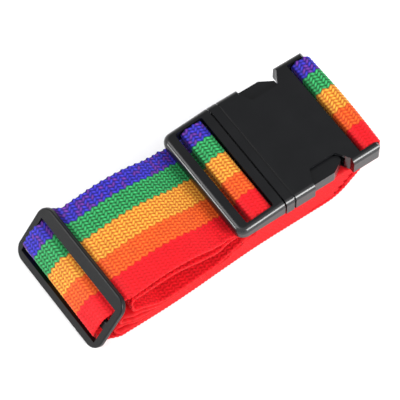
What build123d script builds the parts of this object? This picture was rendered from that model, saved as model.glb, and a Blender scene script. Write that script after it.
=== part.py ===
from build123d import *
from math import cos, radians, sin, sqrt, tan
import os

# Luggage strap, folded for storage, in millimetres. X runs along the strap, from the
# tri-glide to the web end of the buckle's female half. Y runs across the webbing and Z is up.
# Everything is laid out with x = 0 at the tri-glide's low edge, and is moved at the end
# so that the origin is the bottom centre of the whole.

# webbing
WEB_WIDTH = 50.8
WEB_THICK = 1.1
LAYER_PITCH = 1.25
TURN_RADIUS = 0.62
WEB_GAP = 0.1

# tri-glide: a flat frame, standing on its low bar and leaning back over the folds
GLIDE_ANGLE = 55.0
GLIDE_X, GLIDE_Y, GLIDE_Z, GLIDE_YAW = -0.1, 0.6, 0.8, 0.6
GLIDE_DEPTH, GLIDE_HALF_WIDTH, GLIDE_THICK = 29.0, 29.7, 2.6
GLIDE_CORNER, GLIDE_EDGE, GLIDE_SLOT_HALF, GLIDE_GAP = 6.0, 0.7, 26.5, 0.5
LOW_BAR, HIGH_BAR = 3.6, 6.0
CENTRE_BAR, CENTRE_BAR_THICK = 4.8, 2.4

# side-release buckle, both halves: lengths from the male half's web end, heights from the top
BUCKLE_X, BUCKLE_TOP = 71.5, 27.5
BUCKLE_HALF_WIDTH, SLOT_HALF = 28.8, 25.8
TOP_ROUND, LOW_CHAMFER = 2.6, 1.4

# male half: a web frame that slopes down from the joint line, and a guide tongue
MALE_LENGTH, MALE_TILT = 23.4, 6.0
MALE_THICK, MALE_THIN = 8.6, 6.2
MALE_CORNER = 4.5
MALE_WINDOW = (5.9, 19.5)
MALE_BAR_CENTRE, MALE_BAR_HALF, MALE_BAR_THICK, MALE_BAR_TOP = 13.6, 4.2, 3.0, -1.6
SHOULDER_END, SHOULDER_HALF = 27.4, 24.8
TONGUE_END, TONGUE_HALF, TONGUE_Z = 52.0, 7.0, (-6.4, -3.4)

# female half: collar, hollow socket, side windows, web slot and end bar
FEMALE_START, FEMALE_END = 24.2, 72.6
FEMALE_THICK, FEMALE_THIN, FEMALE_CORNER, END_CHAMFER = 9.6, 8.4, 1.6, 1.2
GROOVE_START, GROOVE_WIDTH, GROOVE_DEPTH = 28.1, 0.9, 0.8
SOCKET_END, SOCKET_HALF, SOCKET_Z = 57.2, 25.6, (-8.1, -1.5)
WINDOW_START, WINDOW_END, WINDOW_FLOOR, WINDOW_LIP = 38.8, 58.6, 20.2, 26.4
CROSS_WALL_END = 63.5
END_BAR, END_BAR_Z = (66.8, 73.4), (-5.9, -1.4)

# latch arms, each swinging about an upright axis at its root
ARM_ROOT = (26.2, 21.2)
ARM_ROOT_RADIUS, ARM_SEAT_GAP = 1.8, 0.2
ARM_OUTLINE = [(26.2, 19.8), (26.2, 22.6), (39.4, 22.6), (39.4, 27.2), (49.6, 27.2), (55.6, 23.6),
               (55.6, 21.0), (50.5, 19.5), (40.0, 19.8)]
ARM_Z = (-7.8, -1.8)

# the leg of webbing that climbs to the end bar, with the sewn tail on its inner side
LEG_ANGLE, LEG_RADIUS, LEG_START = 45.0, 16.0, 118.15
SEWN_LENGTH = 12.5
STITCH_ROWS, STITCH_PITCH, STITCH_HALF = (2.0, 9.5), 3.0, 22.5
THREAD_THICK, THREAD_WIDTH, HOLE_GAP = 0.3, 0.5, 0.05

# splits between the lengths of webbing that bend and those that stay still
TURN_LOW_X, TURN_HIGH_X, FREE_END_X = 10.0, 27.0, 110.0


def level(number):
    """Height of the middle of a packed layer, counted from the one on the ground."""
    return WEB_THICK / 2 + number * LAYER_PITCH


def sideways(course):
    return Vector(-course.Y, course.X)


def web_run(stations):
    """A strip of webbing whose middle follows (x, z, corner radius) stations."""
    points = [Vector(x, z) for x, z, _ in stations]
    half = WEB_THICK / 2
    edges = []
    ends = []
    for side in (half, -half):
        course = (points[1] - points[0]).normalized()
        here = points[0] + sideways(course) * side
        ends.append([here])
        for n in range(1, len(points) - 1):
            after = (points[n + 1] - points[n]).normalized()
            radius = stations[n][2]
            sign = 1 if sideways(course).dot(after) > 0 else -1
            half_turn = radians(course.get_angle(after) / 2)
            reach = radius * tan(half_turn)
            start, stop = points[n] - course * reach, points[n] + after * reach
            centre = start + sideways(course) * radius * sign
            middle = (points[n] - centre).normalized()
            offset_radius = radius - sign * side
            marks = [start + sideways(course) * side, centre + middle * offset_radius,
                     stop + sideways(after) * side]
            edges += [Line(here, marks[0]), ThreePointArc(*marks)]
            here, course = marks[2], after
        last = points[-1] + sideways(course) * side
        edges.append(Line(here, last))
        ends[-1].append(last)
    edges += [Line(ends[0][n], ends[1][n]) for n in (0, 1)]
    return extrude(Plane.XZ * make_face(Curve() + edges), amount=WEB_WIDTH / 2, both=True)


def glide_point(along, out):
    """(x, z) of a point of the tri-glide: up its slope, and out from its middle plane."""
    slope = radians(GLIDE_ANGLE)
    x = GLIDE_X + along * cos(slope) - out * sin(slope)
    return x, GLIDE_Z + along * sin(slope) + out * cos(slope)


def male_point(along, height):
    """(x, z) of a point of the male half's sloping frame."""
    tilt, back = radians(MALE_TILT), along - MALE_LENGTH
    x = BUCKLE_X + MALE_LENGTH + back * cos(tilt) - height * sin(tilt)
    return x, BUCKLE_TOP + back * sin(tilt) + height * cos(tilt)


# ---- webbing

LEG_END = (LEG_START + LEG_RADIUS * sin(radians(LEG_ANGLE)),
           level(0) + LEG_RADIUS * (1 - cos(radians(LEG_ANGLE))))
LOOP_X = BUCKLE_X + sum(END_BAR) / 2
LOOP_HALF = (END_BAR[1] - END_BAR[0]) / 2 + WEB_GAP + WEB_THICK / 2
LOOP_TOP = BUCKLE_TOP + END_BAR_Z[1] + WEB_GAP + WEB_THICK / 2
BEHIND_GLIDE = -(GLIDE_THICK / 2 + GLIDE_GAP + WEB_THICK / 2)
CREST, BROW, FOOT_X = (38.0, 26.5), (54.0, 25.0), 72.5


def on_leg(x, inward=0.0):
    """(x, z) on the straight part of the leg, or on a line parallel to it."""
    slope = radians(LEG_ANGLE)
    return x, LEG_END[1] + (x - LEG_END[0]) * tan(slope) + inward / cos(slope)


def tail_start():
    return LOOP_X - LOOP_HALF - SEWN_LENGTH * cos(radians(LEG_ANGLE))


def end_loop():
    """From the sewn tail, up over the end bar and down the leg, with its needle holes."""
    second = WEB_THICK + WEB_GAP
    left, right = LOOP_X - LOOP_HALF, LOOP_X + LOOP_HALF
    strip = web_run([
        (*on_leg(tail_start(), second), 0),
        (*on_leg(left, second), 4.0),
        (left, LOOP_TOP, 2.4),
        (right, LOOP_TOP, 2.4),
        (*on_leg(right), 3.2),
        (*LEG_END, 0),
    ])
    for row in STITCH_ROWS:
        strip -= stitch_row(row, HOLE_GAP, pins_only=True)
    return strip


def stitch_row(distance, growth=0.0, pins_only=False):
    """One row of stitches across the tail: a thread on each side, and pins through both."""
    pin_length = 2 * WEB_THICK + WEB_GAP
    count = int(2 * STITCH_HALF / STITCH_PITCH)
    pin = Box(THREAD_WIDTH * 0.7 + growth, THREAD_WIDTH * 0.7 + growth, pin_length + 0.2)
    places = [(0, (n - count / 2) * STITCH_PITCH, 0) for n in range(count + 1)]
    row = [Location(place) * pin for place in places]
    if not pins_only:
        out = (pin_length + THREAD_THICK) / 2
        thread = Box(THREAD_WIDTH, 2 * STITCH_HALF + THREAD_WIDTH, THREAD_THICK)
        row += [Location((0, 0, side * out)) * thread for side in (1, -1)]
    x = tail_start() + distance * cos(radians(LEG_ANGLE))
    x, z = on_leg(x, (WEB_THICK + WEB_GAP) / 2)
    return Location((x, 0, z), (0, -LEG_ANGLE, 0)) * (Part() + row)


def leg():
    """The bend that lifts the webbing off the ground, as part of a tube's wall."""
    centre = (LEG_START, level(0) + LEG_RADIUS)
    radii = (LEG_RADIUS + WEB_THICK / 2, LEG_RADIUS - WEB_THICK / 2)
    arcs = [CenterArc(centre, radius, -90, LEG_ANGLE) for radius in radii]
    ends = [Line(arcs[0] @ place, arcs[1] @ place) for place in (0, 1)]
    return extrude(Plane.XZ * make_face(Curve() + arcs + ends), amount=WEB_WIDTH / 2, both=True)


def split_point():
    """Where the webbing behind the tri-glide's high bar passes over to the top run."""
    start = glide_point(29.6, BEHIND_GLIDE)
    rise = (CREST[1] - start[1]) / (CREST[0] - start[0])
    return TURN_HIGH_X, start[1] + rise * (TURN_HIGH_X - start[0])


def glide_turn():
    """In from the ground, up behind the low bar, over the centre bar and out at the top."""
    slope = radians(GLIDE_ANGLE)
    foot = (level(0) - GLIDE_Z - BEHIND_GLIDE * cos(slope)) / sin(slope)
    over = CENTRE_BAR_THICK / 2 + GLIDE_GAP + WEB_THICK / 2
    middle = (LOW_BAR + GLIDE_DEPTH - HIGH_BAR) / 2
    return web_run([
        (TURN_LOW_X, level(0), 0),
        (*glide_point(foot, BEHIND_GLIDE), 1.6),
        (*glide_point(middle - 8.9, BEHIND_GLIDE), 2.2),
        (*glide_point(middle - 6.6, over), 3.2),
        (*glide_point(middle + 5.4, over), 4.5),
        (*glide_point(middle + 8.6, BEHIND_GLIDE), 2.2),
        (*glide_point(29.6, BEHIND_GLIDE), 10.0),
        (*split_point(), 0),
    ])


def top_run():
    """Over the crest, under the male half's outer bar, and over its centre bar."""
    up, down = (MALE_BAR_CENTRE + side * (MALE_BAR_HALF + WEB_GAP + WEB_THICK / 2)
                for side in (-1, 1))
    over = MALE_BAR_TOP + WEB_GAP + WEB_THICK / 2
    under, second = level(13), level(12)
    return web_run([
        (*split_point(), 0),
        (*CREST, 60.0),
        (*BROW, 45.0),
        (FOOT_X, under, 14.0),
        (male_point(up, -9)[0], under, 2.0),
        (*male_point(up, over), 2.2),
        (*male_point(down, over), 2.2),
        (male_point(down, -11)[0], second, 2.0),
        (80.0, second, 0),
    ])


def right_reach(number):
    """How far right a layer may reach: up to the climbing leg and its sewn tail."""
    height = level(number)
    if height > LEG_END[1]:
        clear = 2 * WEB_THICK + THREAD_THICK + 4 * WEB_GAP
        return on_leg_at(height) - clear / sin(radians(LEG_ANGLE)) - WEB_THICK / 2
    radius = LEG_RADIUS - WEB_THICK - 2 * WEB_GAP
    return LEG_START + sqrt(radius**2 - (LEG_RADIUS + level(0) - height) ** 2) - WEB_THICK


def on_leg_at(height):
    return LEG_END[0] + (height - LEG_END[1]) / tan(radians(LEG_ANGLE))


def fold(x, number):
    """A turn back on itself at x, from one layer down to the next."""
    return [(x, level(number), TURN_RADIUS), (x, level(number - 1), TURN_RADIUS)]


def folds():
    """The rest of the webbing, from under the male half down to the free end."""
    course = [
        (80.0, level(12), 0),
        (70.0, level(12), 20.0),
        (42.0, 20.2, 30.0),
        (20.3, 19.3, 2.3),
        (19.6, 14.4, 2.3),
        (24.2, 12.9, 5.0),
        (33.5, 7.4, 10.0),
        (61.0, level(5), 10.0),
        (82.5, level(11), 8.0),
        (93.1, level(11), 5.0),
        (98.6, level(13), 5.0),
    ]
    # short layers under the buckle; each (layer, x) is a turn at the left, at that layer
    for number, x in ((12, 100.1), (10, 82.6), (8, 75.6), (6, 68.9)):
        course += fold(right_reach(number), number + 1)
        course += fold(x, number)
    course += fold(right_reach(4), 5)
    # two open loops beside the tri-glide, at the left ends of the long layers
    course += [
        (32.5, level(4), 8.0),
        (23.0, 10.2, 8.0),
        (14.4, 11.0, 1.8),
        (14.0, 7.0, 1.8),
        (20.5, 6.7, 8.0),
        (32.0, level(3), 10.0),
    ]
    course += fold(right_reach(2), 3)
    course += [
        (30.0, level(2), 12.0),
        (19.0, 4.9, 8.0),
        (11.5, 5.2, 1.6),
        (11.5, level(1), 1.6),
        (FREE_END_X, level(1), 0),
    ]
    return web_run(course)


def ground_run():
    return web_run([(TURN_LOW_X, level(0), 0), (LEG_START, level(0), 0)])


# ---- hard parts

def block(x_range, half_width, z_range):
    """A box from one length to another, centred across the strap."""
    size = (x_range[1] - x_range[0], 2 * half_width, z_range[1] - z_range[0])
    return Location((sum(x_range) / 2, 0, sum(z_range) / 2)) * Box(*size)


def bar(centre, size, corner, half_width):
    """A rounded bar across the strap, at (x, z)."""
    section = Plane.XZ * (Location(centre) * RectangleRounded(*size, corner))
    return extrude(section, amount=half_width, both=True)


def tri_glide():
    plan = Location((GLIDE_DEPTH / 2, 0)) * RectangleRounded(
        GLIDE_DEPTH, 2 * GLIDE_HALF_WIDTH, GLIDE_CORNER)
    frame = extrude(plan, amount=GLIDE_THICK / 2, both=True)
    faces = frame.faces().sort_by(Axis.Z)
    frame = fillet(faces[0].edges() + faces[-1].edges(), GLIDE_EDGE)
    opening = (LOW_BAR, GLIDE_DEPTH - HIGH_BAR)
    frame -= block(opening, GLIDE_SLOT_HALF, (-GLIDE_THICK, GLIDE_THICK))
    size = (CENTRE_BAR, CENTRE_BAR_THICK)
    frame += bar((sum(opening) / 2, 0), size, CENTRE_BAR_THICK / 2 - 0.1, GLIDE_SLOT_HALF + 0.5)
    leaning = Location((0, 0, 0), (0, -GLIDE_ANGLE, 0)) * frame
    return Location((GLIDE_X, GLIDE_Y, GLIDE_Z), (0, 0, GLIDE_YAW)) * leaning


def long_edges(body, height_order, inner_x):
    """Outer edges of the top or bottom face, without those at the joint line."""
    face = body.faces().sort_by(Axis.Z)[height_order]
    return [edge for edge in face.edges() if abs(edge.center().X - inner_x) > 0.1]


def male_half():
    side = Polygon((0, 0), (MALE_LENGTH, 0), (MALE_LENGTH, -MALE_THICK), (0, -MALE_THIN),
                   align=None)
    frame = extrude(Plane.XZ * side, amount=BUCKLE_HALF_WIDTH, both=True)
    corners = frame.edges().filter_by(Axis.Z).sort_by(Axis.X)[:2]
    frame = fillet(corners, MALE_CORNER)
    frame = fillet(long_edges(frame, -1, MALE_LENGTH), TOP_ROUND)
    frame = chamfer(long_edges(frame, 0, MALE_LENGTH), LOW_CHAMFER)
    window = block(MALE_WINDOW, SLOT_HALF, (-MALE_THICK - 5, 5))
    frame -= fillet(window.edges().filter_by(Axis.Z), 1.0)
    centre = (MALE_BAR_CENTRE, MALE_BAR_TOP - MALE_BAR_THICK / 2)
    size = (2 * MALE_BAR_HALF, MALE_BAR_THICK)
    frame += bar(centre, size, MALE_BAR_THICK / 2 - 0.1, SLOT_HALF + 0.5)
    frame = Location((-MALE_LENGTH, 0, 0)) * frame
    frame = Location((MALE_LENGTH, 0, 0), (0, -MALE_TILT, 0)) * frame
    frame -= block((MALE_LENGTH, MALE_LENGTH + 5), 40, (-20, 10))
    latch = block((MALE_LENGTH - 1.5, SHOULDER_END), SHOULDER_HALF, ARM_Z)
    latch += block((MALE_LENGTH, TONGUE_END), TONGUE_HALF, TONGUE_Z)
    for side_sign in (1, -1):
        seat = Location((ARM_ROOT[0], side_sign * ARM_ROOT[1], sum(ARM_Z) / 2)) * Cylinder(
            ARM_ROOT_RADIUS + ARM_SEAT_GAP, 20)
        mouth = Location((ARM_ROOT[0] + 5, side_sign * (ARM_ROOT[1] + 1), -5)) * Box(10, 8.5, 20)
        latch -= [seat, mouth]
    return Location((BUCKLE_X, 0, BUCKLE_TOP)) * (frame + latch)


def latch_arm(side_sign):
    plan = Polygon(*ARM_OUTLINE, align=None)
    tip = [vertex for vertex in plan.vertices() if vertex.X > 39.5]
    plan = fillet(tip, 0.8) + Location(ARM_ROOT) * Circle(ARM_ROOT_RADIUS)
    height = ARM_Z[1] - ARM_Z[0]
    arm = Location((0, 0, sum(ARM_Z) / 2)) * extrude(plan, amount=height / 2, both=True)
    if side_sign < 0:
        arm = mirror(arm, Plane.XZ)
    return Location((BUCKLE_X, 0, BUCKLE_TOP)) * arm


def female_half():
    section = Location((0, -FEMALE_THICK / 2)) * Rectangle(2 * BUCKLE_HALF_WIDTH, FEMALE_THICK)
    section = fillet(section.vertices().sort_by(Axis.Y)[-2:], TOP_ROUND)
    section = chamfer(section.vertices().sort_by(Axis.Y)[:2], LOW_CHAMFER)
    side = Polygon(
        (FEMALE_START, 0), (FEMALE_END - END_CHAMFER, 0), (FEMALE_END, -END_CHAMFER),
        (FEMALE_END, END_CHAMFER - FEMALE_THIN), (FEMALE_END - END_CHAMFER, -FEMALE_THIN),
        (FEMALE_START, -FEMALE_THICK), align=None)
    plan = Rectangle(2 * FEMALE_END, 2 * BUCKLE_HALF_WIDTH)
    plan = fillet(plan.vertices().sort_by(Axis.X)[-2:], FEMALE_CORNER)
    body = extrude(Plane.YZ * section, amount=FEMALE_END, both=True)
    body &= extrude(Plane.XZ * side, amount=BUCKLE_HALF_WIDTH, both=True)
    body &= extrude(plan, amount=FEMALE_THICK, both=True)
    body -= block((FEMALE_START - 1, SOCKET_END), SOCKET_HALF, SOCKET_Z)
    groove = (GROOVE_START, GROOVE_START + GROOVE_WIDTH)
    core_z = (-FEMALE_THICK + GROOVE_DEPTH, -GROOVE_DEPTH)
    core = block(groove, BUCKLE_HALF_WIDTH - GROOVE_DEPTH, core_z)
    core = fillet(core.edges().filter_by(Axis.X).sort_by(Axis.Z)[-2:], TOP_ROUND - GROOVE_DEPTH)
    body -= block(groove, 40, (-20, 10)) - core
    for side_sign in (1, -1):
        corners = [(WINDOW_START, 40), (WINDOW_START, WINDOW_LIP), (WINDOW_START + 2.8, WINDOW_FLOOR),
                   (WINDOW_END - 4.0, WINDOW_FLOOR), (WINDOW_END, WINDOW_LIP), (WINDOW_END, 40)]
        plan = Polygon(*[(x, side_sign * y) for x, y in corners], align=None)
        inner = [vertex for vertex in plan.vertices() if abs(vertex.Y) < 30]
        body -= extrude(fillet(inner, 1.4), amount=30, both=True)
    body -= block((CROSS_WALL_END, FEMALE_END + 5), SLOT_HALF, (-20, 10))
    centre = (sum(END_BAR) / 2, sum(END_BAR_Z) / 2)
    size = (END_BAR[1] - END_BAR[0], END_BAR_Z[1] - END_BAR_Z[0])
    body += bar(centre, size, 1.8, SLOT_HALF + 0.5)
    return Location((BUCKLE_X, 0, BUCKLE_TOP)) * body


def main():
    os.makedirs("parts", exist_ok=True)
    parts = {
        "webbing_end_loop": end_loop(),
        "webbing_leg": leg(),
        "webbing_ground_run": ground_run(),
        "webbing_glide_turn": glide_turn(),
        "webbing_top_run": top_run(),
        "webbing_folds": folds(),
        "tri_glide": tri_glide(),
        "male_half": male_half(),
        "latch_arm_front": latch_arm(-1),
        "latch_arm_rear": latch_arm(1),
        "female_half": female_half(),
    }
    for number, distance in enumerate(STITCH_ROWS, 1):
        parts[f"stitch_row_{number}"] = stitch_row(distance)
    boxes = [shape.bounding_box() for shape in parts.values()]
    low = [min(tuple(box.min)[n] for box in boxes) for n in range(3)]
    high = [max(tuple(box.max)[n] for box in boxes) for n in range(3)]
    to_origin = Location((-(low[0] + high[0]) / 2, -(low[1] + high[1]) / 2, -low[2]))
    print("moved by", to_origin.position)
    for name, shape in parts.items():
        export_step(to_origin * shape, f"parts/{name}.step")


if __name__ == "__main__":
    main()
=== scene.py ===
import math

import bpy
import numpy as np
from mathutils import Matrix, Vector


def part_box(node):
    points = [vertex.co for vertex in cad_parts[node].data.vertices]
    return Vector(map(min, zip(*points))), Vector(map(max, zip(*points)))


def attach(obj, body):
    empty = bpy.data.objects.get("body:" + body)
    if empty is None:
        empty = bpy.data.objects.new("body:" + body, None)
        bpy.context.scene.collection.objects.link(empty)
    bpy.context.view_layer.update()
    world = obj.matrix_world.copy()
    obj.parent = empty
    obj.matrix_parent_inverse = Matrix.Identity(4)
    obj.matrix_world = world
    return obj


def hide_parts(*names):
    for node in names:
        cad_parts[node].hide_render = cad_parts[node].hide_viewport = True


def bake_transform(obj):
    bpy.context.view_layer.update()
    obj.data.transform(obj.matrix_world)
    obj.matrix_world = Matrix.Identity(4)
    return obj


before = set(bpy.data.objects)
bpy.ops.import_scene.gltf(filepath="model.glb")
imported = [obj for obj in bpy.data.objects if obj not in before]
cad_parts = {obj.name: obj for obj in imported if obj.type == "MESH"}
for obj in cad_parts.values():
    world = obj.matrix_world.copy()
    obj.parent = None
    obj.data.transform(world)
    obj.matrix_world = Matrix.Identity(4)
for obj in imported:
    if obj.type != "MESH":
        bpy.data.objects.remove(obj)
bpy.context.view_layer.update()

# Lengths below are in millimetres, laid out with x = 0 at the tri-glide's low edge and y = 0 at the
# middle of the webbing. mesh() and the camera's aim move them into the row frame, in metres.
GROUND_LOW, GROUND_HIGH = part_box("webbing_ground_run")
ORIGIN_X = 10.0 - GROUND_LOW[0] * 1000
ORIGIN_Y = -(GROUND_LOW[1] + GROUND_HIGH[1]) * 500
WEB_WIDTH, WEB_THICK, LAYER_PITCH, TURN_RADIUS = 50.8, 1.1, 1.25, 0.62

# The weave: columns of yarn across the webbing, the length of one zigzag, and the relief's height.
COLUMNS, FLOAT, RELIEF = 31, 3.45, 0.30
COLUMN = WEB_WIDTH / COLUMNS
SIDE_BULGE, GROUND_CLEARANCE = 0.22, 0.02
STRIPES = [(5, "blue"), (6, "green"), (7, "yellow"), (6, "orange"), (7, "red")]
# Each yarn's colour in two tones: darkened with painted shade for the valleys, and lit up with a
# painted highlight for the crowns.
YARN = {
    "blue": ((0.003, 0.002, 0.095), (0.052, 0.040, 0.600)),
    "green": ((0.001, 0.036, 0.005), (0.040, 0.460, 0.140)),
    "yellow": ((0.360, 0.060, 0.002), (0.860, 0.430, 0.050)),
    "orange": ((0.420, 0.026, 0.001), (0.840, 0.135, 0.016)),
    "red": ((0.480, 0.001, 0.003), (0.760, 0.005, 0.015)),
}
SPECK, SPECK_SHARE = (0.16, 0.035, 0.36), 0.30
KNUCKLES = 997  # crowns along a column before its chance colours repeat

# Two rows of stitches: their distances from the tail's end, and their thread.
STITCH_ROWS = (2.0, 9.5)
STITCH_COUNT, STITCH_PITCH, STITCH_HALF, STITCH_RINGS = 15, 3.0, 22.5, 9
THREAD_RADIUS, THREAD_SIDES = 0.24, 8


def level(number):
    """Height of the middle of a packed layer, counted from the one on the ground."""
    return WEB_THICK / 2 + number * LAYER_PITCH


# ---------------------------------------------------------------- course of the webbing

# low edge of the tri-glide and its lean; joint line of the male half at its top, and its tilt
GLIDE = (-0.1, 0.8, math.radians(55.0))
MALE_LENGTH = 23.4
MALE = (94.9, 27.5, math.radians(6.0))
LEG_RADIUS, LEG_START = 16.0, 118.15
LEG_END = (LEG_START + LEG_RADIUS * math.sqrt(0.5), level(0) + LEG_RADIUS * (1 - math.sqrt(0.5)))
LOOP_LEFT, LOOP_RIGHT, LOOP_TOP = 137.65, 145.55, 26.75
TAIL_START = LOOP_LEFT - 8.84
TAIL_OFFSET = 1.2


def glide_point(along, out):
    """(x, z) up the slope of the tri-glide, and out from its middle plane."""
    x, z, slope = GLIDE
    return (x + along * math.cos(slope) - out * math.sin(slope),
            z + along * math.sin(slope) + out * math.cos(slope))


def male_point(along, height):
    """(x, z) on the male half's sloping frame, from its web end and from its top."""
    x, z, tilt = MALE
    back = along - MALE_LENGTH
    return (x + back * math.cos(tilt) - height * math.sin(tilt),
            z + back * math.sin(tilt) + height * math.cos(tilt))


def on_leg(x, inward=0.0):
    """(x, z) on the straight 45 degree part of the leg, or on a line parallel to it."""
    return x, LEG_END[1] + x - LEG_END[0] + inward * math.sqrt(2)


def right_reach(number):
    """How far right a layer reaches: up to the climbing leg and its sewn tail."""
    height = level(number)
    if height > LEG_END[1]:
        return LEG_END[0] + height - LEG_END[1] - 2.9 * math.sqrt(2) - WEB_THICK / 2
    radius = LEG_RADIUS - WEB_THICK - 0.2
    return LEG_START + math.sqrt(radius**2 - (LEG_RADIUS + level(0) - height) ** 2) - WEB_THICK


def fold(x, number):
    """A turn back on itself at x, from one layer down to the next."""
    return [(x, level(number), TURN_RADIUS), (x, level(number - 1), TURN_RADIUS)]


# The webbing is drawn as three pieces, which meet at these two places.
GROUND_SEAM, FOLD_SEAM = 36.0, (75.0, level(5) + (level(11) - level(5)) * 14 / 21.5)
# Up the tri-glide: its centre bar, and how far behind and in front of the frame the webbing lies.
MIDDLE, BEHIND, OVER = 13.3, -2.35, 2.25


def top_stations():
    """From the ground seam through the tri-glide, over the male half's bar and back under it."""
    return [
        (GROUND_SEAM, level(0), 0),
        (*glide_point(1.34, BEHIND), 1.6),
        (*glide_point(MIDDLE - 8.9, BEHIND), 2.2),
        (*glide_point(MIDDLE - 6.6, OVER), 3.2),
        (*glide_point(MIDDLE + 5.4, OVER), 4.5),
        (*glide_point(MIDDLE + 8.6, BEHIND), 2.2),
        (*glide_point(29.6, BEHIND), 10.0),
        (38.0, 26.5, 60.0),
        (54.0, 25.0, 45.0),
        (72.5, level(13), 14.0),
        (male_point(8.75, -9)[0], level(13), 2.0),
        (*male_point(8.75, -0.95), 2.2),
        (*male_point(18.45, -0.95), 2.2),
        (male_point(18.45, -11)[0], level(12), 2.0),
        (70.0, level(12), 20.0),
        (42.0, 20.2, 30.0),
        (20.3, 19.3, 2.3),
        (19.6, 14.4, 2.3),
        (24.2, 12.9, 5.0),
        (33.5, 7.4, 10.0),
        (61.0, level(5), 10.0),
        (*FOLD_SEAM, 0),
    ]


def fold_stations():
    """The short layers under the buckle, and the long ones with their two open loops."""
    course = [(*FOLD_SEAM, 0), (82.5, level(11), 8.0), (93.1, level(11), 5.0), (98.6, level(13), 5.0)]
    for number, x in ((12, 100.1), (10, 82.6), (8, 75.6), (6, 68.9)):
        course += fold(right_reach(number), number + 1) + fold(x, number)
    course += fold(right_reach(4), 5)
    course += [(32.5, level(4), 8.0), (23.0, 10.2, 8.0), (14.4, 11.0, 1.8), (14.0, 7.0, 1.8),
               (20.5, 6.7, 8.0), (32.0, level(3), 10.0)]
    course += fold(right_reach(2), 3)
    course += [(30.0, level(2), 12.0), (19.0, 4.9, 8.0), (11.5, 5.2, 1.6), (11.5, level(1), 1.6),
               (110.0, level(1), 0)]
    return course


def end_stations():
    """From the ground seam up the leg, over the end bar and down to the sewn tail's end."""
    return [
        (GROUND_SEAM, level(0), 0),
        (LEG_START + LEG_RADIUS * math.tan(math.radians(22.5)), level(0), LEG_RADIUS),
        (*on_leg(LOOP_RIGHT), 3.2),
        (LOOP_RIGHT, LOOP_TOP, 2.4),
        (LOOP_LEFT, LOOP_TOP, 2.4),
        (*on_leg(LOOP_LEFT, TAIL_OFFSET), 4.0),
        (*on_leg(TAIL_START, TAIL_OFFSET), 0),
    ]


def walk(stations):
    """Dense points along (x, z, corner radius) stations, as an array of x, z."""
    points = [np.array(station[:2], float) for station in stations]
    out = [points[0]]
    for n in range(1, len(points) - 1):
        before, after = points[n] - points[n - 1], points[n + 1] - points[n]
        before, after = before / np.linalg.norm(before), after / np.linalg.norm(after)
        cross = before[0] * after[1] - before[1] * after[0]
        turn = math.atan2(cross, before @ after)
        radius = stations[n][2]
        start = points[n] - before * radius * abs(math.tan(turn / 2))
        normal = np.array([-before[1], before[0]]) * math.copysign(1, turn)
        centre = start + normal * radius
        for share in np.linspace(0, 1, max(3, int(abs(turn) * radius / 0.12) + 2)):
            a = turn * share
            spoke = start - centre
            out.append(centre + [spoke[0] * math.cos(a) - spoke[1] * math.sin(a),
                                 spoke[0] * math.sin(a) + spoke[1] * math.cos(a)])
    out.append(points[-1])
    return np.array(out)


def evenly(points, step):
    """Lengths along the line about a step apart, the points there and their unit normals."""
    gaps = np.linalg.norm(np.diff(points, axis=0), axis=1)
    keep = np.concatenate([[True], gaps > 1e-6])
    points = points[keep]
    run = np.concatenate([[0], np.cumsum(np.linalg.norm(np.diff(points, axis=0), axis=1))])
    count = max(2, round(run[-1] / step) + 1)
    s = np.linspace(0, run[-1], count)
    line = np.stack([np.interp(s, run, points[:, k]) for k in (0, 1)], axis=1)
    course = np.gradient(line, axis=0)
    course /= np.linalg.norm(course, axis=1)[:, None]
    return s, line, np.stack([-course[:, 1], course[:, 0]], axis=1)


def ease(value, start, end):
    """0 before start, 1 past end, and smooth between."""
    share = np.clip((value - start) / (end - start), 0, 1)
    return share * share * (3 - 2 * share)


def in_glide(x, z):
    """1 where the webbing turns through the tri-glide, fading to 0 on both sides of it."""
    return ease(-x, -21.0, -15.0) * ease(z, 0.8, 3.5)


def behind_bar(x, z):
    """1 where the webbing passes behind the tri-glide's high bar."""
    return ease(x, 10.0, 12.5) * ease(-x, -19.8, -17.0) * ease(z, 12.0, 15.0)


def drift(x, z):
    """How far the webbing lies off the middle, towards the blue edge.

    The lower layers and the arch come forward, and the turn through the tri-glide and the layers
    under the male half lie back.
    """
    low = ease(-z, -21.0, -15.0) * ease(-x, -92.0, -30.0) * ease(x, 5.5, 14.5)
    turn = in_glide(x, z)
    under = ease(x, 62.0, 70.0) * ease(-x, -101.0, -97.0)
    under = under * ease(z, 13.2, 15.0) * ease(-z, -21.0, -18.0)
    arch = ease(z, 20.0, 23.0) * ease(x, 16.0, 22.0) * ease(-x, -72.0, -60.0)
    return 1.4 * turn + 1.6 * under - 2.4 * low - 0.8 * arch - 0.1


def skew(x, y, z):
    """The loose loop on the female half's end bar bows outwards, and more at its blue end."""
    share = np.clip((y + WEB_WIDTH / 2) / WEB_WIDTH, 0, 1)
    bow = 0.7 * np.sin(math.pi * share) + 0.5 * share
    return ease(x, 138.0, 145.0) * ease(z, 10.0, 20.0) * bow


# ---------------------------------------------------------------- woven ribbon

def stripe_table():
    """Yarn colours of the columns, from the blue edge to the red one."""
    return [name for count, name in STRIPES for _ in range(count)]


def weave(s, v, face):
    """Relief from 0 to 1 and column of the yarns, at length s and distance v from the blue edge."""
    swing = 0.45 * face * np.sin(2 * math.pi * s / FLOAT)
    place = np.clip((v + swing) / COLUMN, 0, COLUMNS - 1e-6)
    column = np.floor(place).astype(int)
    inside = place - column - 0.5
    crown = np.clip(np.cos(math.pi * inside), 0, 1) ** 0.7
    spot = 0.5 + 0.5 * np.cos(4 * math.pi * s / FLOAT + 2.2 * face * inside)
    return crown * (0.5 + 0.5 * spot), column


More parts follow.
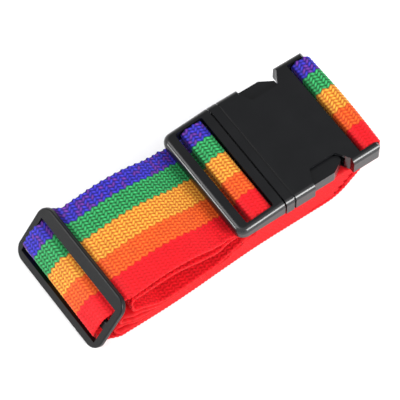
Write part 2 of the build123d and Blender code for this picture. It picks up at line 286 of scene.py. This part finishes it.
def colours(s, v, face, rng):
    """Yarn colours with painted shade in the valleys and a painted highlight on the crowns; some blue
    crowns purple.
    """
    relief, column = weave(s, v, face)
    names = np.array(stripe_table())
    # The first colour is the yarn darkened with painted shade for the valleys, the second the yarn
    # with a painted highlight for the crowns.
    valley_shade = np.array([YARN[name][0] for name in names])[column]
    high = np.array([YARN[name][1] for name in names])[column]
    knuckle = np.floor(2 * s / FLOAT + 0.5).astype(int) % KNUCKLES
    lottery = rng.random((COLUMNS, KNUCKLES))
    drawn = lottery[column, knuckle]
    purple = (names == "blue")[column] & (drawn < SPECK_SHARE)
    high = np.where(purple[..., None], np.array(SPECK), high)
    # The weave's relief mixes them: painted shade fills the valleys and a painted highlight the
    # crowns.
    share = np.clip(1.25 * relief - 0.15, 0, 1)[..., None] ** 1.5
    shade = 0.90 + 0.20 * lottery[(column * 7 + 3) % COLUMNS, (knuckle * 3) % KNUCKLES]
    return np.clip((valley_shade * (1 - share) + high * share) * shade[..., None], 0, 1)


def outline(grid_v, edge_wave, line):
    """Each point's y and how full the thickness is there, which fades to 0 at the two edges."""
    y = WEB_WIDTH / 2 - grid_v
    pull = np.clip((np.abs(y) - WEB_WIDTH / 2 + 1.5) / 1.5, 0, 1)
    widen = 0.8 * in_glide(line[:, 0], line[:, 1]) + 1.3 * behind_bar(line[:, 0], line[:, 1])
    shift = drift(line[:, 0], line[:, 1])
    y = y + np.sign(y) * edge_wave * pull + shift[:, None] + widen[:, None] * ease(y, 5.0, 25.0)
    rim = np.clip(np.abs(WEB_WIDTH / 2 - grid_v) - WEB_WIDTH / 2 + 0.4, 0, 1)
    return y, np.sqrt(1 - rim**2)


def ribbon_faces(rows, ring, count):
    """Quads round the ribbon from row to row, and strips that close its two ends."""
    faces = []
    for n in range(rows - 1):
        a, b = n * ring, (n + 1) * ring
        faces += [(a + k, a + (k + 1) % ring, b + (k + 1) % ring, b + k) for k in range(ring)]
    for row, flip in ((0, 1), (rows - 1, -1)):
        base = row * ring
        pairs = [(base + (-1 - k) % ring, base + k) for k in range(count + 1)]
        for (p, q), (r, t) in zip(pairs, pairs[1:]):
            corners = list(dict.fromkeys([p, q, t, r]))
            if len(corners) > 2:
                faces.append(tuple(corners[::-flip]))
    return faces


def write_layers(obj, s, across, tint):
    """The yarn colours, with the weave's painted shade and highlight, and a map of length along and
    distance across for the fibres' grain.
    """
    count, ring = len(across), tint.shape[1]
    layer = obj.data.color_attributes.new("Yarn", "FLOAT_COLOR", "POINT")
    layer.data.foreach_set("color", tint.reshape(-1).astype(np.float32))
    uv = obj.data.uv_layers.new(name="Weave")
    flat = np.zeros((len(s), ring, 2))
    flat[..., 0] = s[:, None]
    flat[:, :count, 1] = across
    flat[:, count, 1] = WEB_WIDTH
    flat[:, count + 1:ring - 1, 1] = across[::-1]
    flat = flat.reshape(-1, 2)
    loops = np.zeros(len(obj.data.loops), int)
    obj.data.loops.foreach_get("vertex_index", loops)
    uv.data.foreach_set("uv", flat[loops].reshape(-1).astype(np.float32))


def ribbon(name, stations, start_s, step, per_column, direction=1, relief=RELIEF):
    """A closed woven ribbon along the stations, and its length.

    start_s keeps the weave in step at a seam. Each row of points is a ring: one face of the
    webbing, a point on its red edge, the other face back again, and a point on its blue edge.
    """
    rng = np.random.default_rng(7)
    s, line, normal = evenly(walk(stations), step)
    s = start_s + direction * s
    across = np.linspace(0, WEB_WIDTH, COLUMNS * per_column + 1)
    rows, count = len(s), len(across)
    ring = 2 * count + 2
    grid_s, grid_v = np.meshgrid(s, across, indexing="ij")
    edge_wave = 0.12 * np.cos(4 * math.pi * grid_s / FLOAT)
    edge_wave += np.where(grid_v < WEB_WIDTH / 2, 0.22, 0.0) * np.cos(2 * math.pi * grid_s / FLOAT)
    y, thin = outline(grid_v, edge_wave, line)
    sides = []
    for face in (direction, -direction):
        height, _ = weave(grid_s, grid_v, face * direction)
        flat_part = (WEB_THICK / 2 - relief / 2) * thin
        out = face * (flat_part + relief * 0.5 * height * thin * 2 - relief * 0.25)
        sides.append((out, colours(grid_s, grid_v, face * direction, rng)))
    vertices = np.zeros((rows, ring, 3))
    tint = np.ones((rows, ring, 4))
    lean = skew(line[:, 0:1], y, line[:, 1:2])
    for half, (out, colour) in enumerate(sides):
        order = slice(None) if half == 0 else slice(None, None, -1)
        place = slice(0, count) if half == 0 else slice(count + 1, ring - 1)
        vertices[:, place, 0] = (line[:, 0:1] + lean + normal[:, 0:1] * out)[:, order]
        vertices[:, place, 1] = y[:, order]
        vertices[:, place, 2] = (line[:, 1:2] + normal[:, 1:2] * out)[:, order]
        tint[:, place, :3] = colour[:, order]
    for place, column, sign in ((count, -1, -1), (ring - 1, 0, 1)):
        vertices[:, place, 1] = y[:, column] + sign * SIDE_BULGE
        vertices[:, place, 0] = line[:, 0] + skew(line[:, 0], vertices[:, place, 1], line[:, 1])
        vertices[:, place, 2] = line[:, 1]
        tint[:, place, :3] = sides[0][1][:, column] * 0.9
    vertices[..., 2] = np.maximum(vertices[..., 2], GROUND_CLEARANCE)
    obj = mesh(name, vertices.reshape(-1, 3), ribbon_faces(rows, ring, count))
    write_layers(obj, s, across, tint)
    return obj, abs(s[-1] - s[0])


def mesh(name, vertices, faces, smooth=True):
    """A new object from points in millimetres."""
    data = bpy.data.meshes.new(name)
    points = (np.asarray(vertices, float) - [ORIGIN_X, ORIGIN_Y, 0]) / 1000
    data.from_pydata(points.tolist(), [], faces)
    data.validate()
    data.polygons.foreach_set("use_smooth", [smooth] * len(data.polygons))
    data.update()
    obj = bpy.data.objects.new(name, data)
    bpy.context.scene.collection.objects.link(obj)
    return obj


def stitches(name, distance):
    """A row of lockstitches across the sewn tail: each dips into the webbing at its two ends."""
    x, z = on_leg(TAIL_START + distance * math.sqrt(0.5), TAIL_OFFSET / 2)
    out = np.array([-math.sqrt(0.5), 0, math.sqrt(0.5)])
    along = np.array([math.sqrt(0.5), 0, math.sqrt(0.5)])
    vertices, faces = [], []
    for side in (1, -1):
        for n in range(STITCH_COUNT):
            base = len(vertices)
            for share in np.linspace(0, 1, STITCH_RINGS):
                middle = np.array([x, -STITCH_HALF + STITCH_PITCH * (n + share), z])
                middle = middle + out * side * (0.8 + 0.5 * math.sin(math.pi * share) ** 0.5)
                for turn in np.linspace(0, 2 * math.pi, THREAD_SIDES, endpoint=False):
                    spoke = along * math.cos(turn) + out * math.sin(turn)
                    vertices.append(middle + THREAD_RADIUS * spoke)
            for ring in range(STITCH_RINGS - 1):
                a = base + THREAD_SIDES * ring
                b = a + THREAD_SIDES
                faces += [(a + k, a + (k + 1) % THREAD_SIDES, b + (k + 1) % THREAD_SIDES, b + k)
                          for k in range(THREAD_SIDES)]
            end = len(vertices)
            faces += [tuple(range(base + THREAD_SIDES - 1, base - 1, -1)),
                      tuple(range(end - THREAD_SIDES, end))]
    return mesh(name, vertices, faces)


# ---------------------------------------------------------------- materials

def shader(name):
    """A new node material: its tree and its Principled shader."""
    material = bpy.data.materials.new(name)
    material.use_nodes = True
    return material, material.node_tree, material.node_tree.nodes["Principled BSDF"]


def node(tree, kind, **values):
    """A new node. Each value goes to the input of that name, or else to the node's property."""
    new = tree.nodes.new(kind)
    for key, value in values.items():
        if key in new.inputs:
            new.inputs[key].default_value = value
        else:
            setattr(new, key, value)
    return new


def webbing_material():
    material, tree, principled = shader("Webbing")
    link = tree.links.new
    # The Yarn colour layer carries the weave's painted shade in the valleys and painted highlight on
    # the crowns.
    yarn = node(tree, "ShaderNodeVertexColor", layer_name="Yarn")
    where = node(tree, "ShaderNodeUVMap", uv_map="Weave")
    fibres = node(tree, "ShaderNodeMapping")
    fibres.inputs["Scale"].default_value = (1.6, 7.0, 1.0)
    link(where.outputs["UV"], fibres.inputs["Vector"])
    grain = node(tree, "ShaderNodeTexNoise", Scale=1.0, Detail=2.0, Roughness=0.6)
    link(fibres.outputs["Vector"], grain.inputs["Vector"])
    vary = node(tree, "ShaderNodeMapRange")
    vary.inputs["To Min"].default_value = 0.72
    vary.inputs["To Max"].default_value = 1.28
    link(grain.outputs["Fac"], vary.inputs["Value"])
    mixed = node(tree, "ShaderNodeVectorMath", operation="SCALE")
    link(yarn.outputs["Color"], mixed.inputs[0])
    link(vary.outputs["Result"], mixed.inputs["Scale"])
    link(mixed.outputs["Vector"], principled.inputs["Base Color"])
    bump = node(tree, "ShaderNodeBump", Strength=0.35, Distance=0.00012)
    link(grain.outputs["Fac"], bump.inputs["Height"])
    link(bump.outputs["Normal"], principled.inputs["Normal"])
    principled.inputs["Roughness"].default_value = 0.62
    principled.inputs["Specular IOR Level"].default_value = 0.2
    principled.inputs["Sheen Weight"].default_value = 0.04
    principled.inputs["Sheen Roughness"].default_value = 0.5
    return material


def plastic_material(name, colour, roughness, specular):
    """Satin moulded plastic: a fine spark texture and slight handling marks in the gloss."""
    material, tree, principled = shader(name)
    link = tree.links.new
    where = node(tree, "ShaderNodeTexCoord")
    fine = node(tree, "ShaderNodeTexNoise", Scale=2600.0, Detail=2.0)
    wide = node(tree, "ShaderNodeTexNoise", Scale=70.0, Detail=3.0)
    for noise in (fine, wide):
        link(where.outputs["Object"], noise.inputs["Vector"])
    gloss = node(tree, "ShaderNodeMapRange")
    gloss.inputs["From Min"].default_value = 0.3
    gloss.inputs["From Max"].default_value = 0.7
    gloss.inputs["To Min"].default_value = roughness - 0.05
    gloss.inputs["To Max"].default_value = roughness + 0.06
    link(wide.outputs["Fac"], gloss.inputs["Value"])
    link(gloss.outputs["Result"], principled.inputs["Roughness"])
    ramp = node(tree, "ShaderNodeMix", data_type="RGBA")
    ramp.inputs["A"].default_value = (*[c * 0.82 for c in colour], 1)
    ramp.inputs["B"].default_value = (*[c * 1.18 for c in colour], 1)
    link(wide.outputs["Fac"], ramp.inputs["Factor"])
    link(ramp.outputs["Result"], principled.inputs["Base Color"])
    bump = node(tree, "ShaderNodeBump", Strength=0.12, Distance=0.00005)
    link(fine.outputs["Fac"], bump.inputs["Height"])
    link(bump.outputs["Normal"], principled.inputs["Normal"])
    principled.inputs["Specular IOR Level"].default_value = specular
    return material


def floor_material():
    material, tree, principled = shader("Floor")
    principled.inputs["Base Color"].default_value = (0.96, 0.96, 0.96, 1)
    principled.inputs["Roughness"].default_value = 0.9
    return material


# ---------------------------------------------------------------- build

STEP = FLOAT / 10
top, top_length = ribbon("webbing_top", top_stations(), 0.0, STEP, 4)
folds, folds_length = ribbon("webbing_folds_inner", fold_stations(), top_length, FLOAT / 5, 1,
                             relief=0.1)
end, end_length = ribbon("webbing_end", end_stations(), 0.0, STEP, 4, direction=-1)

webbing = webbing_material()
for piece in (top, folds, end):
    piece.data.materials.append(webbing)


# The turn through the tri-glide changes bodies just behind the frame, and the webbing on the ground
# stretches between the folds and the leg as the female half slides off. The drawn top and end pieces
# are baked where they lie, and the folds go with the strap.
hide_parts("webbing_glide_turn", "webbing_top_run")
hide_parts("webbing_folds")
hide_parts("webbing_ground_run", "webbing_leg", "webbing_end_loop")
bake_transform(top)
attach(folds, "strap")
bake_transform(end)

black = plastic_material("Buckle plastic", (0.0045, 0.0048, 0.0056), 0.20, 0.48)
matt = plastic_material("Glide plastic", (0.0045, 0.0048, 0.0052), 0.34, 0.22)
for name in ("male_half", "latch_arm_front", "latch_arm_rear", "female_half", "tri_glide"):
    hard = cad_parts[name]
    hard.data.materials.clear()
    hard.data.materials.append(matt if name == "tri_glide" else black)
    edge = hard.modifiers.new("Moulded edge", "BEVEL")
    edge.width = 0.0004
    edge.segments = 3
    edge.limit_method = "ANGLE"
    edge.angle_limit = math.radians(35)
    edge.harden_normals = True
thread = plastic_material("Thread", (0.20, 0.19, 0.30), 0.6, 0.3)
for number, distance in enumerate(STITCH_ROWS, 1):
    row = stitches(f"stitches_{number}", distance)
    row.data.materials.append(thread)
    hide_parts(f"stitch_row_{number}")
    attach(row, "female_end")

# ---------------------------------------------------------------- floor, light and camera

FLOOR_HALF = 4000
floor_corners = [(x * FLOOR_HALF, y * FLOOR_HALF, 0) for x, y in ((-1, -1), (1, -1), (1, 1), (-1, 1))]
floor = mesh("floor", floor_corners, [(0, 1, 2, 3)])
floor.data.materials.append(floor_material())

# A white sky, dimmer where the buckle's flat top mirrors it to the camera.
world = bpy.data.worlds.new("Studio")
world.use_nodes = True
sky = world.node_tree
sky.nodes["Background"].inputs["Color"].default_value = (1, 1, 1, 1)
toward = node(sky, "ShaderNodeTexCoord")
match = node(sky, "ShaderNodeVectorMath", operation="DOT_PRODUCT")
match.inputs[1].default_value = (0.287, 0.409, 0.866)
fade = node(sky, "ShaderNodeMapRange", interpolation_type="SMOOTHSTEP")
for key, value in (("From Min", 0.74), ("From Max", 0.93), ("To Min", 1.20), ("To Max", 0.32)):
    fade.inputs[key].default_value = value
sky.links.new(toward.outputs["Generated"], match.inputs[0])
sky.links.new(match.outputs["Value"], fade.inputs["Value"])
sky.links.new(fade.outputs["Result"], sky.nodes["Background"].inputs["Strength"])
bpy.context.scene.world = world
bpy.context.scene.view_settings.view_transform = "Standard"


def lamp(name, place, size, power, target=(0, 0, 0.01)):
    """An area lamp at place, in metres, that faces the target."""
    light = bpy.data.lights.new(name, "AREA")
    light.size = size
    light.energy = power
    obj = bpy.data.objects.new(name, light)
    obj.location = place
    obj.rotation_euler = (Vector(target) - Vector(place)).to_track_quat("-Z", "Y").to_euler()
    bpy.context.scene.collection.objects.link(obj)


lamp("key", (-0.45, 0.35, 0.9), 0.5, 3.0)
lamp("near side", (0.26, -0.78, 0.37), 0.40, 9.5)
lamp("left side", (-0.7, 0.3, 0.33), 0.2, 2.2)

DISTANCE = 1.1
camera = bpy.data.cameras.new("camera")
camera.lens = 238.6
camera.sensor_width = 36
camera.clip_start, camera.clip_end = 0.05, 20
eye = bpy.data.objects.new("camera", camera)
azimuth, height = math.radians(35.09), math.radians(59.99)
aim = Vector(((71.67 - ORIGIN_X) / 1000, (-0.84 - ORIGIN_Y) / 1000, 0.015))
back = Vector((-math.sin(azimuth) * math.cos(height), -math.cos(azimuth) * math.cos(height),
               math.sin(height)))
eye.location = aim + back * DISTANCE
eye.rotation_euler = (-back).to_track_quat("-Z", "Y").to_euler()
bpy.context.scene.collection.objects.link(eye)
bpy.context.scene.camera = eye
